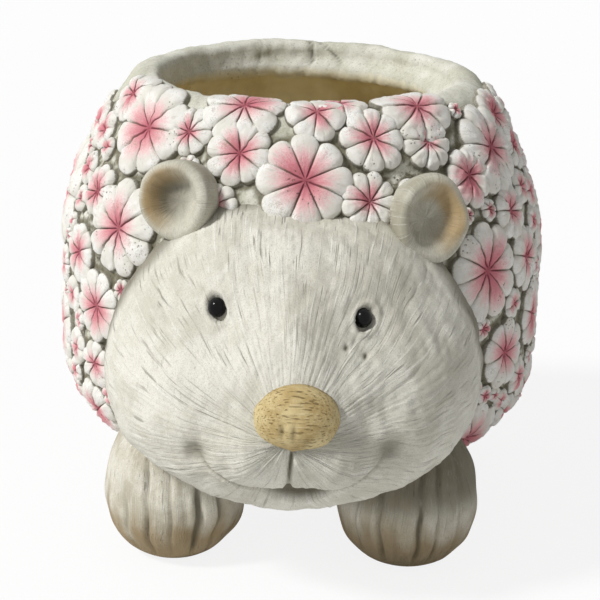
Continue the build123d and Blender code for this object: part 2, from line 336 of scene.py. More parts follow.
def ground_cement():
    """Raw grey cement between the blooms and on the rim, with painted shade in the crevices round the blooms and a
    tan inside.
    """
    paint = Finish("ground_cement", gloss=0.25)
    place = paint.place()
    broad = paint.cloud(place, 20 * mm, 4.0)
    lumps = paint.cloud(place, 3.2 * mm, 4.0, 0.65)
    grit = paint.cloud(place, 0.9 * mm, 4.0, 0.75)
    raw = paint.mix(paint.cloud(place, 26 * mm, 4.0).ease(0.35, 0.65), "e2d2a8", "f7edcc")
    coat, hollow = paint.trait("coat"), paint.trait("hollow")
    pits = specks_on(paint, place, 2.2 * mm, 0.40) * (0.3 + 0.7 * coat)
    colour = paint.washed(
        paint.mix(broad.ease(0.36, 0.66), "c3c2b1", "dcdbcf"),
        (grit.ease(0.54, 0.70) * 0.5, "efeee6"),
        (grit.ease(0.46, 0.34) * 0.5, "8b8771"),
        (lumps.ease(0.52, 0.36) * coat * 0.85, "79735a"),
        # painted shade in the crevices round the blooms, blotched by the lumps
        ((hollow + (lumps - 0.5) * 0.8 * hollow).ease(0.10, 0.95) * 0.85, "625c46"),
        (paint.trait("inside"), raw),
        (paint.trait("crack") * 0.8, "5c5644"),
        (pits * 0.8, "4a4534"),
    )
    relief = grit * 0.35 + lumps * 1.3 * (0.25 + 0.75 * coat) + broad * 0.3 - pits * 0.9
    return paint.finished(colour, 0.92 - broad * 0.08, relief, 0.6 * mm)


def petal_paint():
    """White petals sprayed pink from the heart, with a brown wash down the partings and painted shade along the
    sides.
    """
    paint = Finish("petal_paint", gloss=0.25)
    place = paint.place()
    reach, parting, side = (paint.trait(name) for name in ("reach", "parting", "side"))
    streak = paint.cloud(paint.stretched(paint.trait("sweep", "Vector"), (1.0, 1.0, 0.14)), 0.7 * mm, 3.0, 0.6)
    broad = paint.cloud(place, 7 * mm, 3.0)
    grain = paint.cloud(place, 0.55 * mm, 4.0, 0.75)
    blush = paint.trait("blush") + (streak - 0.5) * 0.60 + (broad - 0.5) * 0.30 + (grain - 0.5) * 0.75
    pink = paint.mix(blush.ease(0.55, 1.25), "ecb4b6", "d2727f")
    worn = (grain * 0.55 + broad * 0.45).ease(0.545, 0.64)
    in_partings = (parting + (grain - 0.5) * 0.5).ease(0.30, 0.95)
    # Painted shade at the bloom's outline and down the petals' sides
    painted_edge_shade = (side + (grain - 0.5) * 0.9 + (broad - 0.5) * 0.6).ease(0.42, 1.05)
    pits = specks_on(paint, place, 1.5 * mm, 0.42)
    colour = paint.washed(
        paint.mix(broad.ease(0.35, 0.7), "e6e3d9", "f8f7f2"),
        (blush.ease(0.10, 0.85) * 0.92, pink),
        (reach.ease(0.30, 0.0) * 0.6, "a9525f"),
        (worn * 0.48, "aca58f"),
        (streak.ease(0.42, 0.30) * 0.28, "a28d80"),
        (in_partings * 0.88, paint.mix(reach.ease(0.62, 0.20), "746e58", "86404c")),
        (painted_edge_shade * 0.85, "6c664f"),
        (pits * 0.7, "665f4a"),
    )
    relief = grain * 0.9 + streak * 0.35 - pits * 0.8
    return paint.finished(colour, 0.82 - broad * 0.1, relief, 0.52 * mm)


def brushed_cement(name, pale, shade, stain, combed=1.0):
    """Pale cement combed with fine strokes that hold a dark wash. Strand coordinates run across and along
    the strokes: hairs and cuts are clouds drawn out along them, of which only the peaks show, as dark as
    combed says. The trait of the recesses takes painted shade, and the stain trait takes the ochre."""
    paint = Finish(name, gloss=0.25)
    place = paint.place()
    strand = paint.trait("strand", "Vector")
    broad = paint.cloud(place, 28 * mm, 3.0)
    patch = paint.cloud(place, 8 * mm, 4.0, 0.6)
    hairs = paint.cloud(paint.stretched(strand, (1.0, 1.0, 0.028)), 0.55 * mm, 2.0, 0.5)
    cuts = paint.cloud(paint.stretched(strand, (0.9, 1.1, 0.036)), 0.85 * mm, 2.0, 0.45)
    upright = paint.cloud(paint.stretched(place, (1.0, 0.5, 0.035)), 0.60 * mm, 2.0, 0.5)
    grain = paint.cloud(place, 0.5 * mm, 4.0, 0.75)
    lines = hairs.ease(0.60, 0.74) * (0.45 + 0.55 * patch.ease(0.35, 0.62))
    scores = cuts.ease(0.655, 0.72) * patch.ease(0.40, 0.58)
    stray = upright.ease(0.66, 0.74) * broad.ease(0.42, 0.60)
    ridges = hairs.ease(0.44, 0.30)
    hollow = paint.trait("hollow")
    pits = specks_on(paint, place, 2.0 * mm, 0.26)
    colour = paint.washed(
        paint.mix((broad * 0.6 + patch * 0.4).ease(0.38, 0.58), shade, pale),
        (ridges * 0.40, "f5f3ec"),
        (grain.ease(0.52, 0.36) * 0.42, "a39d8a"),
        (paint.trait("stain"), stain),
        # Painted shade in the recesses, blotched by the patches
        ((hollow + (patch - 0.5) * 0.5 * hollow).ease(0.12, 1.0) * 0.9, "625b48"),
        (lines * 0.55 * combed, "777061"),
        (stray * 0.24 * combed, "7a7362"),
        (scores * 0.46 * combed, "5a5444"),
        (pits * 0.6, "4a4436"),
    )
    relief = ridges * 0.25 + grain * 0.55 - (lines * 0.45 + scores * 0.8 + stray * 0.3) * combed - pits * 0.7
    return paint.finished(colour, 0.90 - broad * 0.08, relief, 0.40 * mm)


def nose_ochre():
    """Ochre wash over combed cement, darker in the strokes, with painted shade in the dents and towards the edge.
    """
    paint = Finish("nose_ochre_paint", gloss=0.35)
    place = paint.place()
    strand = paint.stretched(paint.trait("strand", "Vector"), (0.05, 1.0, 1.0))
    hairs = paint.cloud(strand, 0.6 * mm, 2.0, 0.5, 0.25)
    broad = paint.cloud(place, 9 * mm, 4.0)
    grain = paint.cloud(place, 0.6 * mm, 4.0, 0.7)
    ridges = hairs.ease(0.44, 0.30)
    colour = paint.washed(
        paint.mix(broad.ease(0.35, 0.65), "b39b68", "d2c08f"),
        (ridges * 0.5, "ddcda3"),
        (grain.ease(0.48, 0.32) * 0.3, "80683a"),
        (hairs.ease(0.54, 0.70) * 0.62, "6a5128"),
        # Painted shade in the dents and round the edge
        (paint.trait("hollow"), "5f4824"),
    )
    relief = ridges * 0.3 + grain * 0.4 - hairs.ease(0.585, 0.68) * 0.8
    return paint.finished(colour, 0.82 - broad * 0.1, relief, 0.35 * mm)


def black_bead():
    """Glossy black bead with a faint cloud of dust on it."""
    paint = Finish("black_bead_gloss", gloss=0.16)
    dust = paint.cloud(paint.place(), 1.5 * mm, 4.0)
    colour = paint.mix(dust.ease(0.5, 0.8), "030304", "0a0b0e")
    return paint.finished(colour, dust * 0.16 + 0.10, dust, 0.02 * mm)


# Pot: ground, lip, neck, cavity and drain hole in one wall

lip_start = 168 * mm
lip_crest = 174.9 * mm
rim_level = 178.1 * mm
rim_climb = 2.7 * mm
mouth_girth = 58 * mm
neck_foot = 165 * mm
wall = 11 * mm + ground_proud
sunk = 6 * mm
floor_top = 32 * mm
drain_girth = 6 * mm

# Cracks in the lip's back: start round the mouth, slope, and depth in millimetres
rim_cracks = ((-1.0 * mm, 0.10, 1.1), (-12 * mm, 1.10, 0.8), (22 * mm, -0.25, 0.4))


def barrel(height):
    """Radius of the ground: a power curve from the equator to the rim, and another down to the belly."""
    above = np.clip((height - equator_height) / (rim_height - equator_height), 0, None)
    below = np.clip((equator_height - height) / (equator_height - belly_height), 0, None)
    shoulder = (barrel_girth - rim_girth) * above**shoulder_power
    return barrel_girth - shoulder - (barrel_girth - belly_girth) * below**belly_power


def underside(radius):
    """Height of the barrel's underside at a radius, the belly's power curve the other way round."""
    share = np.clip((barrel_girth - radius) / (barrel_girth - belly_girth), 0, 1)
    return equator_height - (equator_height - belly_height) * share ** (1 / belly_power)


def spaced(points, count):
    """The same line, divided evenly by its length."""
    points = np.array(points, float)
    run = lengths(points)
    even = np.linspace(0, run[-1], count)
    return np.stack([np.interp(even, run, points[:, k]) for k in range(2)], 1)


def ground_line():
    """Radius and height up the ground from the belly's edge, over the lip and down the neck's mouth."""
    heights = np.linspace(belly_height, lip_start, 400)
    shoulder = np.stack([barrel(heights), heights], 1)
    lip = [(70.2 * mm, 172.2 * mm), (66.2 * mm, 174.5 * mm), (62.0 * mm, lip_crest), (59.2 * mm, 173.9 * mm)]
    lip = through([shoulder[-1], *lip, (mouth_girth, 171.5 * mm)], 60)
    return np.vstack([shoulder, lip[1:]])


ground = ground_line()
rising = 430  # points of it from the belly up to where the lip turns over
ground_run = lengths(ground)
ground_lean = np.gradient(ground, ground_run, axis=0)


def climbed(turn, height):
    """How far the rim's slope lifts a height at an azimuth: from the face to the back, and only near the lip."""
    return (rim_level - rim_climb * np.cos(turn) - lip_crest) * ease(142 * mm, 173 * mm, height)


def on_ground(turn, run, proud):
    """Points at an azimuth from the face, a length up the ground line and a distance out from the ground.
    What would pass the lip's height or the coat's girth is pressed softly back under it."""
    radius, height = (np.interp(run, ground_run, ground[:, k]) for k in range(2))
    lean_out, lean_up = (np.interp(run, ground_run, ground_lean[:, k]) for k in range(2))
    past = np.clip(run - ground_run[-1], 0, None)
    radius = radius + proud * lean_up
    height = height - proud * lean_out - past
    height = height + climbed(turn, height)
    press, over_rim, over_coat, under_top = 0.7 * mm, 1.8 * mm, 3.0 * mm, 0.1 * mm
    ceiling = np.minimum(rim_level - rim_climb * np.cos(turn) + over_rim, pot_high.z - under_top)
    height = ceiling - press * np.logaddexp(0, (ceiling - height) / press)
    reach = barrel_girth + over_coat
    radius = reach - press * np.logaddexp(0, (reach - radius) / press)
    return np.stack([radius * np.sin(turn), axis_y - radius * np.cos(turn), height], -1)


def cast_pot():
    """A profile carried round the pot's axis: belly, ground, lip, neck, ledge, cavity, floor and drain.
    Each point is pushed along the profile's normal by seeded roughness, and the lip sags by up to about a
    millimetre. The throat is a little narrower and further left than the lip."""
    columns = 320
    drain_share, throat_pinch, throat_left = 0.15, 0.06, 3.5 * mm
    cavity = np.linspace(neck_foot, floor_top, 60)
    stretches = [  # each line of the profile, and how much of the colour of the inside it takes
        (spaced([(drain_girth, belly_height), (ground[0, 0], belly_height)], 14)[:-1], 0),
        (spaced(ground, 118), 0),
        (spaced([ground[-1], (mouth_girth, neck_foot)], 9)[1:], 0.15),
        (spaced([(mouth_girth, neck_foot), (barrel(neck_foot) - wall, neck_foot)], 5)[1:], 0.8),
        (np.stack([barrel(cavity) - wall, cavity], 1)[1:], 1),
        (spaced([(barrel(floor_top) - wall, floor_top), (drain_girth, floor_top)], 12)[1:], 1),
        (spaced([(drain_girth, floor_top), (drain_girth, belly_height)], 6)[1:-1], 0.6),
    ]
    profile = np.vstack([line for line, _ in stretches])
    inside = np.concatenate([np.full(len(line), share) for line, share in stretches])[:, None]
    lean = np.roll(profile, -1, 0) - np.roll(profile, 1, 0)
    lean = lean / np.linalg.norm(lean, axis=1, keepdims=True)
    turn = turns(columns)
    radius, height = (np.repeat(profile[:, k, None], columns, 1) for k in range(2))
    x, y = radius * np.sin(turn), -radius * np.cos(turn)
    rough = 0.40 * murmur(3, 13 * mm, x, y, height, waves=24) + 0.30 * murmur(4, 5 * mm, x, y, height, waves=30)
    lip = ease(160 * mm, 173 * mm, height) * (inside < 0.5)
    coat = ease(170 * mm, 164 * mm, height) * (inside < 0.1)
    # Painted shade in the crevices at the blooms' edges
    shade_round_blooms = between_blooms(turn, height) * coat
    sag = murmur(5, 38 * mm, x, y) - 0.6
    crack = cracks(turn, radius, height)
    push = (rough * (1 - 0.35 * lip) - crack) * mm + 0.7 * mm * sag * lip
    push = push * np.where(profile[:, :1] < 2 * drain_girth, drain_share, 1.0)
    radius = radius + push * lean[:, 1:]
    height = height - push * lean[:, :1]
    height = height + climbed(turn, height) * (inside < 0.5)
    throat = ease(66 * mm, 59 * mm, radius) * ease(174.5 * mm, 167 * mm, height)
    throat = throat * (height > 150 * mm)
    radius = radius * (1 - throat_pinch * throat)
    x, y = radius * np.sin(turn) - throat_left * throat, axis_y - radius * np.cos(turn)
    inner_tan = ease(0.1, 0.9, inside) * np.ones(columns)
    traits = {"hollow": shade_round_blooms, "coat": coat, "inside": inner_tan, "crack": np.clip(crack, 0, 1)}
    traits = {name: values.ravel() for name, values in traits.items()}
    points, faces = np.stack([x, y, height], -1).reshape(-1, 3), ring_faces(len(profile), columns, looped=True)
    no_fans = np.zeros((0, 3), int)
    make_piece("cast_pot", points, faces, no_fans, traits, ground_cement(), ["pot_shell"], "cement_ground")


def cracks(turn, radius, height):
    """Depth in millimetres of the slanting cracks in the lip's back: a bell across each, its line wandering."""
    back = turn - np.pi
    depth = 0
    for start, slope, deepest in rim_cracks:
        line = start + slope * (height - 168 * mm) - murmur(6, 9 * mm, height) * 0.6 * mm
        depth = depth + deepest * hump(back * mouth_girth - line, 0.7 * mm)
    near_back = ease(0.9, 0.5, abs(back))
    return depth * ease(163 * mm, 168 * mm, height) * (radius < 66 * mm) * near_back


# Blooms: azimuth from the face in degrees, share of the coat's height, radius, petals and lift
face_blooms = (
    (-48.0, 0.898, 18.4, 8, 0.6), (-33.3, 0.908, 9.4, 9, 0.2), (-18.8, 0.972, 15.5, 9, 0.2),
    (-16.8, 0.880, 12.2, 8, 1.4), (0.6, 0.832, 17.0, 8, 2.2), (3.6, 0.968, 11.5, 7, 0.3),
    (19.2, 0.915, 12.2, 8, 1.0), (16.2, 0.788, 10.6, 9, 2.2), (35.6, 0.897, 10.8, 9, 0.8),
    (36.7, 0.968, 16.0, 8, 0.0), (11.6, 0.985, 10.0, 7, 0.0), (59.9, 0.858, 17.6, 8, 0.2),
    (46.4, 0.818, 11.4, 7, 0.9), (59.7, 0.716, 10.8, 8, 0.6), (46.9, 0.599, 18.6, 9, 1.2),
    (65.1, 0.592, 12.6, 8, 0.2), (84.3, 0.598, 13.2, 7, 0.3), (72.2, 0.427, 13.9, 8, 0.5),
    (55.2, 0.372, 13.9, 8, 1.0), (47.7, 0.159, 16.5, 8, 0.4), (76.6, 0.212, 13.6, 8, 0.4),
    (-47.0, 0.676, 17.8, 9, 1.1), (-59.3, 0.737, 10.4, 9, 0.2), (-85.8, 0.680, 23.0, 8, 0.4),
    (-63.1, 0.581, 11.6, 8, 0.7), (-53.3, 0.471, 14.2, 9, 0.9), (-80.2, 0.346, 17.2, 8, 0.3),
    (-54.8, 0.318, 9.8, 8, 0.4), (-59.4, 0.183, 13.0, 8, 0.6), (-76.5, 0.207, 10.4, 8, 0.2),
    (-64.7, 0.948, 11.4, 8, 0.3), (72.8, 0.911, 11.4, 8, 0.5), (76.5, 0.836, 9.2, 8, 0.3),
)

# Rear rows: share of the coat's height, radius, petals, first azimuth, number of blooms a step apart, and lift
rear_step = 27.0
rear_rows = (
    (0.895, 9.8, 7, 96.0, 6, 0.2),
    (0.810, 17.4, 8, 109.5, 6, 0.7),
    (0.670, 11.6, 7, 96.0, 6, 0.3),
    (0.530, 19.0, 8, 109.5, 6, 0.8),
    (0.390, 12.0, 7, 96.0, 7, 0.3),
    (0.250, 18.0, 8, 109.5, 6, 0.7),
    (0.105, 9.4, 7, 96.0, 7, 0.2),
)

# Zones of the coat: the azimuths where each starts and ends
coat_zones = (
    ("brow", -42.0, 42.0), ("right_flank", 42.0, 95.0), ("right_rear", 95.0, 150.0),
    ("rump", 150.0, 210.0), ("left_rear", 210.0, 265.0), ("left_flank", 265.0, 318.0),
)
petal_rise = 3.3 * mm


def placed_blooms():
    """Every bloom as azimuth, share of the coat's height, radius in millimetres, petals and lift: those round
    the face, turned as the camera was, then the rear rows, then those in the gaps."""
    placed = [(a + camera_yaw, h, r, p, lift) for a, h, r, p, lift in face_blooms]
    for height, radius, petals, first, count, lift in rear_rows:
        placed += [(first + rear_step * step, height, radius, petals, lift) for step in range(count)]
    return placed + gap_blooms(placed)


def gap_blooms(placed):
    """Small blooms in the gaps of the coat: of seeded spots, the one in the widest gap first, until what is
    left is too narrow. The face's own ellipse is kept free, and so is the back of the rim."""
    spots, rim_share, front_cosine = 9000, 0.88, 0.45
    widest, narrowest, overlap = 7.2 * mm, 2.7 * mm, 0.5 * mm
    draw = np.random.default_rng(77)
    azimuth, share = draw.uniform(-180, 180, spots), draw.uniform(0.08, 0.955, spots)
    height = coat_at(share)
    run, girth = run_at(height), barrel(height)
    turn = np.radians(azimuth)
    ahead = np.cos(turn)
    on_face = np.hypot(girth * np.sin(turn) / (66 * mm), (height - 94 * mm) / (53 * mm)) < 1
    free = np.full(spots, widest)
    free[on_face & (ahead > 0)] = 0
    free[(share > rim_share) & (ahead < front_cosine)] = 0

    def left_by(spot_azimuth, spot_run, size):
        across = np.radians((azimuth - spot_azimuth + 180) % 360 - 180) * girth
        return np.hypot(across, run - spot_run) - size

    for spot_azimuth, spot_share, size, _, _ in placed:
        free = np.minimum(free, left_by(spot_azimuth, run_at(coat_at(spot_share)), size * mm))
    found = []
    while free.max() > narrowest:
        best = free.argmax()
        size = free[best] + overlap
        found.append((azimuth[best], share[best], size / mm, 5 + len(found) % 3, 0.0))
        free = np.minimum(free, left_by(azimuth[best], run[best], size))
    return found


def coat_at(share):
    """Height of a share of the coat."""
    return belly_height + (rim_height - belly_height) * share


def run_at(height):
    """Length up the ground line at which a height is reached."""
    return np.interp(height, ground[:rising, 1], ground_run[:rising])


def between_blooms(turn, height):
    """How near the ground is to a bloom's edge: a bell on the distance from each outline, as a share of it."""
    run, girth = run_at(height), barrel(height)
    near = 0
    for azimuth, share, size, _, _ in placed_blooms():
        across = ((turn - np.radians(azimuth) + np.pi) % (2 * np.pi) - np.pi) * girth
        away = np.hypot(across, run - run_at(coat_at(share))) / (size * mm)
        near = np.maximum(near, hump(away - 1.03, 0.12))
    return near


def bloom(azimuth, height_share, size, petals, lift, seed):
    """One bloom as rings round its heart, wrapped on the ground, and its traits.

    Across a petal, q runs from -1 to 1 between its two partings, closer together near them. The outline is
    the size, less a rounded notch towards the partings. The height is a dish that rises from the heart to the
    pad and falls in a long quarter round at the tip, times a quarter circle that falls into each parting. The
    last rings go under the ground.
    """
    large = size > 8 * mm
    columns_each, inner_rings = (14, 11) if large else (8, 6)
    skirt = ((1.06, -0.5 * mm), (1.03, -1.2 * mm), (0.8, -2.2 * mm))  # share of the reach, height
    draw = np.random.default_rng(seed)
    petal, step = np.divmod(np.arange(petals * columns_each), columns_each)
    even = 2 * step / columns_each - 1
    q = 0.45 * even + 0.55 * np.sin(np.pi / 2 * even)
    angle = (petal + (q + 1) / 2) * 2 * np.pi / petals
    own_bend, own_reach, own_rise, own_blush = draw.uniform(-1, 1, (4, petals))[:, petal]
    bend = (0.10 * own_bend * (1 - q * q) + 0.07 * np.sin(angle * 2 + seed)) * np.pi / petals
    notched = 1 - 0.15 * abs(q) ** 2.8 + 0.05 * own_reach * (1 - q * q)
    outline = size * notched * (1 + 0.05 * np.sin(angle + seed))
    rho = np.concatenate([np.linspace(0.03, 0.78, inner_rings), [0.84, 0.90, 0.95, 0.99, 1.03]])
    above_ground = len(rho)
    rho = np.concatenate([rho, [share for share, _ in skirt]])[:, None]
    reach = rho * outline
    gap = reach * np.sin(np.clip(1 - abs(q), 0, 1) * np.pi / petals)
    shoulder = (0.10 * size + 0.7 * mm) * (0.30 + 0.70 * np.clip(rho, 0, 1))
    pad = np.sqrt(1 - (1 - np.clip(gap / shoulder, 0, 1)) ** 2)
    dish = 0.62 + 0.38 * ease(0.05, 0.50, rho)
    tip = np.sqrt(1 - np.clip((rho - 0.62) / 0.44, 0, 1) ** 2.3)
    parted = 0.22 + 0.36 * ease(0.0, 0.45, rho)
    thick = petal_rise * (0.66 + 0.34 * min(size / (15 * mm), 1)) * (1 + 0.12 * own_rise)
    x, y = reach * np.cos(angle), reach * np.sin(angle)
    lumps = 0.30 * murmur(seed, 5 * mm, x, y) + 0.16 * murmur(seed + 300, 1.8 * mm, x, y, waves=14)
    proud = thick * dish * (1 - parted * (1 - pad)) * tip
    proud = proud + (0.4 * lift * np.clip(rho, 0, 1) * tip + lumps * (0.35 + 0.65 * tip)) * mm
    proud[above_ground:] = np.array([height for _, height in skirt])[:, None]
    spin = draw.uniform(0, 2 * np.pi)
    across, upward = reach * np.cos(angle + bend + spin), reach * np.sin(angle + bend + spin)
    centre_run = run_at(coat_at(height_share))
    girth = np.maximum(np.interp(centre_run + upward * 0.5, ground_run, ground[:, 0]), mouth_girth)
    rings = on_ground(np.radians(azimuth) + across / girth, centre_run + upward, proud)
    spray, drift = draw.uniform(0, 2 * np.pi), draw.uniform(0.0, 0.16)
    sprayed_x, sprayed_y = rho * np.cos(angle) - drift * np.cos(spray), rho * np.sin(angle) - drift * np.sin(spray)
    parting = hump(gap, 0.24 * mm + 0.015 * size) * (rho > 0.06) * (1 - 0.35 * ease(0.4, 0.9, rho))
    round_heart = size * 0.5 * np.stack([np.cos(angle), np.sin(angle)], -1) + 0 * reach[..., None]
    traits = {
        "reach": rho + 0 * reach,
        "blush": 1.38 - 1.60 * np.hypot(sprayed_x, sprayed_y) + 0.25 * own_blush + draw.uniform(-0.16, 0.16),
        "parting": parting,
        # Painted shade: full at the outline and below it, and some where the petals fall into the partings
        "side": np.clip(ease(0.96, 1.04, rho) + 0.35 * (1 - pad) * ease(0.6, 0.9, rho), 0, 1),
        "sweep": np.concatenate([round_heart, reach[..., None]], -1) + seed * 0.01,
    }
    return rings[::-1], {name: values[::-1] for name, values in traits.items()}


def bloom_coat():
    """Every bloom, gathered by zone into one piece that stands for that zone's node."""
    finish = petal_paint()
    for zone, first, last in coat_zones:
        points, quads, triangles, traits = [], [], [], {}
        start = 0
        for seed, (azimuth, share, radius, petals, lift) in enumerate(placed_blooms()):
            plain = azimuth - camera_yaw
            if not (first <= plain < last or first <= plain + 360 < last):
                continue
            rings, own_traits = bloom(azimuth, share, radius * mm, petals, lift, seed)
            corners, four_sided, three_sided = closed_form(rings)
            points.append(corners)
            quads.append(four_sided + start)
            triangles.append(three_sided + start)
            start += len(corners)
            for name, values in own_traits.items():
                traits.setdefault(name, []).append(with_poles(values))
        traits = {name: np.concatenate(values) for name, values in traits.items()}
        shape = (np.vstack(points), np.vstack(quads), np.vstack(triangles))
        make_piece(f"{zone}_blooms", *shape, traits, finish, [f"{zone}_flowers"], "painted_petals")


# Head: a bullet of rings from the coat to the muzzle, carved and swollen where the face needs it
head_root = 62 * mm
head_base = 85 * mm
head_length = 61.5 * mm
cheek_half_width = 69 * mm
brow_half_height = 56 * mm
jaw_half_height = 51 * mm
muzzle_height = 74 * mm
head_rise = 20 * mm
muzzle_x = 3.0 * mm

# Broad forms of the face in millimetres: push, the measure across, its middle and width, height and half height.
# The muzzle's measure is from its own middle and only ahead, the bridge's is only ahead, and the brow's is on
# both sides of the head
face_forms = (
    (4.8, "muzzle", 14.5, 10.5, 63.0, 9.0),  # pads beside the mouth
    (3.6, "muzzle", 0.0, 27.0, 44.0, 6.0),  # chin
    (2.2, "muzzle", 46.0, 15.0, 76.0, 19.0),  # cheeks
    (2.6, "bridge", 1.0, 11.0, 106.0, 20.0),  # bridge of the nose
    (1.6, "brow", 27.0, 13.0, 125.0, 8.0),  # brows
    (-2.0, "brow", 25.0, 10.0, 108.0, 9.0),  # hollows round the eyes
    (-1.5, "muzzle", 27.0, 7.0, 80.0, 9.0),  # hollows over the pads
)

# Smile in millimetres: its lowest line, and the reach and the rise of its left and right halves
lip_low = 52.6
half_smiles = (36, 33)
smile_curls = (12, 15)
mouth_half_width = 11.5

# Eyes: places on the face in millimetres, half sizes of the beads, and how far off their sockets' middles they are
eye_spots = {"left": (-26.9, 113.8), "right": (26.4, 112.0)}
bead_half = np.array([3.3, 3.4, 3.6]) * mm
bead_shift = np.array([-0.35, 0.8, 0.45]) * mm
casting_pits = ((19.9, 103.7), (27.0, 100.6))


def head_rings():
    """Rings of the head, from the middle of its root by way of the base to the tip of the muzzle, and phi round
    from the top.

    The half width is widest in the cheeks: a sine with a lower power under the middle, wider below than
    above. The rings shrink as a power of 1 - u squared, and their middle sinks from the brow to the muzzle.
    """
    cap, back, ahead, columns = 24, 20, 200, 400
    phi = turns(columns)
    u = np.sin(np.linspace(0, np.pi / 2, ahead + 1)[1:] * 0.995)
    root = np.linspace(head_root, head_base, back, endpoint=False)
    depth = np.concatenate([np.full(cap, head_root), root, head_base + head_length * u])[:, None]
    shrink = np.concatenate([np.linspace(0.03, 0.99, cap), np.ones(back), (1 - u * u) ** 0.72])[:, None]
    u = np.concatenate([np.zeros(cap + back), u])[:, None]
    middle = muzzle_height + head_rise * (1 - u) ** 1.4
    half_height = np.where(np.cos(phi) > 0, brow_half_height, jaw_half_height)
    power = 0.9 + 0.1 * np.cos(phi)
    side = np.sign(np.sin(phi)) * abs(np.sin(phi)) ** power * (1 - 0.21 * np.cos(phi))
    x = cheek_half_width * side * shrink
    z = middle + half_height * np.cos(phi) * shrink
    return np.stack([x, axis_y - depth + 0 * x, z], -1), phi


def sculpt_head(rings, phi):
    """Pushes the head's points along their normals by bells and steps, in millimetres, and returns the painted
    shade in its recesses and at its root. The broad forms come first, then the smile's crease, the open mouth,
    the upright line above it, the dimples at the corners, the eyes' sockets, the casting pits and the combed
    strokes."""
    normal = outward(rings)
    x, z, reach = rings[..., 0] / mm, rings[..., 2] / mm, (axis_y - rings[..., 1]) / mm
    front = ease(90, 114, reach)
    across = x - muzzle_x / mm
    side = abs(across)
    measures = {"muzzle": (side, front), "bridge": (x, front), "brow": (abs(x), 1)}
    push = 0
    for rise, measure, middle, width, height, tall in face_forms:
        away, kept = measures[measure]
        push = push + rise * hump(away - middle, width) * hump(z - height, tall) * kept
    top_of_brow = ease(132, 148, z) * ease(118, 92, reach)
    push -= 7.0 * hump(x - 6, 27) * top_of_brow

    half_smile = np.where(across < 0, *half_smiles)
    curl = np.where(across < 0, *smile_curls)
    over = z - lip_low - curl * (side / half_smile) ** 3.2
    corner = z - lip_low - curl
    crease = hump(over, 0.9) * ease(1.02, 0.70, side / half_smile) * front
    agape = np.sqrt(np.clip(1 - ((across - 1) / mouth_half_width) ** 2, 0, 1))
    under_lip = ease(-5.2, -3.0, over / (0.15 + 0.85 * agape))
    mouth = ease(0.5, -0.7, over) * under_lip * agape * front
    upright = hump(x - 1.1 - 0.07 * (z - 61), 0.85)
    upright = upright * ease(50.5, 53, z) * ease(74, 68, z) * front
    dimple = hump(side - half_smile, 5.0) * hump(corner, 4.8) * front
    round_dimple = hump(side - half_smile, 8) * hump(corner, 8) * front
    push -= 1.7 * crease + 3.6 * mouth + 2.3 * upright + 2.4 * dimple

    socket = np.inf
    for eye_x, eye_z in eye_spots.values():
        socket = np.minimum(socket, np.hypot(x - eye_x, (z - eye_z) * 0.90))
    push += 0.6 * hump(socket - 4.5, 0.8) - 2.8 * ease(3.5, 2.9, socket)
    pits = 0
    for pit_x, pit_z in casting_pits:
        pits = pits + hump(np.hypot(x - pit_x, (z - pit_z) * 0.8), 1.0) * front
    push -= 1.1 * pits
    comb = murmur(22, 1.5, 52 * phi + 0 * x, 1.1 * reach / 14, waves=24)
    push += 0.14 * comb * ease(0.0, 10, reach - head_base / mm)
    push += 0.40 * murmur(24, 15, x, z, reach, waves=20) + 0.16 * murmur(26, 5, x, z, reach, waves=24)
    # Painted shade in the open mouth, the upright line, the dimples and the crease, at the sockets' edges, in the
    # casting pits, and at the head's root where it meets the coat
    hollow = 1.15 * mouth + 0.85 * upright + 0.42 * dimple + 0.60 * crease + 0.25 * round_dimple
    hollow = hollow + 0.42 * hump(socket - 3.9, 0.4) + 0.9 * pits + 0.75 * ease(97, 85, reach)
    return rings + normal * push[..., None] * mm, np.clip(hollow, 0, 1)


def pale_head():
    """The face and muzzle, with strokes that fan out from the nose. Its root is moved out from the pot's axis
    into the wall, so that none of it stands in the cavity."""
    plain, phi = head_rings()
    rings, hollow = sculpt_head(plain, phi)
    x, y, z = np.moveaxis(rings, -1, 0)
    grown = np.maximum(1, (barrel(z) - sunk) / np.hypot(x, y - axis_y))
    x, y = x * grown, axis_y + (y - axis_y) * grown
    rings = np.stack([x, y, z], -1)
    fan = phi + 0.035 * murmur(25, 30 * mm, x, z)
    strand = np.stack([34 * mm * np.cos(fan), 34 * mm * np.sin(fan), (axis_y - y) * 1.4], -1)
    bead_eyes(plain, rings)
    finish = brushed_cement("face_cement", "dfddd1", "cbc8ba", "b39a6b")
    traits = {"hollow": hollow, "stain": 0 * hollow, "strand": strand}
    closed_piece("pale_head", rings, traits, finish, ["head"], "cement_face")


def bead_eyes(plain, carved):
    """Each eye is an ellipsoid half way from the plain head's nearest point to that point's carved place."""
    finish = black_bead()
    phi = turns(40)
    v = np.linspace(0.03, np.pi - 0.03, 24)[:, None]
    ball = np.stack([np.sin(v) * np.sin(phi), -np.cos(v) + 0 * phi, np.sin(v) * np.cos(phi)], -1)
    for hand, (eye_x, eye_z) in eye_spots.items():
        nearest = np.hypot(plain[..., 0] - eye_x * mm, plain[..., 2] - eye_z * mm).argmin()
        middle = (plain.reshape(-1, 3)[nearest] + carved.reshape(-1, 3)[nearest]) / 2 + bead_shift
        closed_piece(f"{hand}_eye_bead", middle + bead_half * ball, {}, finish, [f"{hand}_eye"], "black_bead")


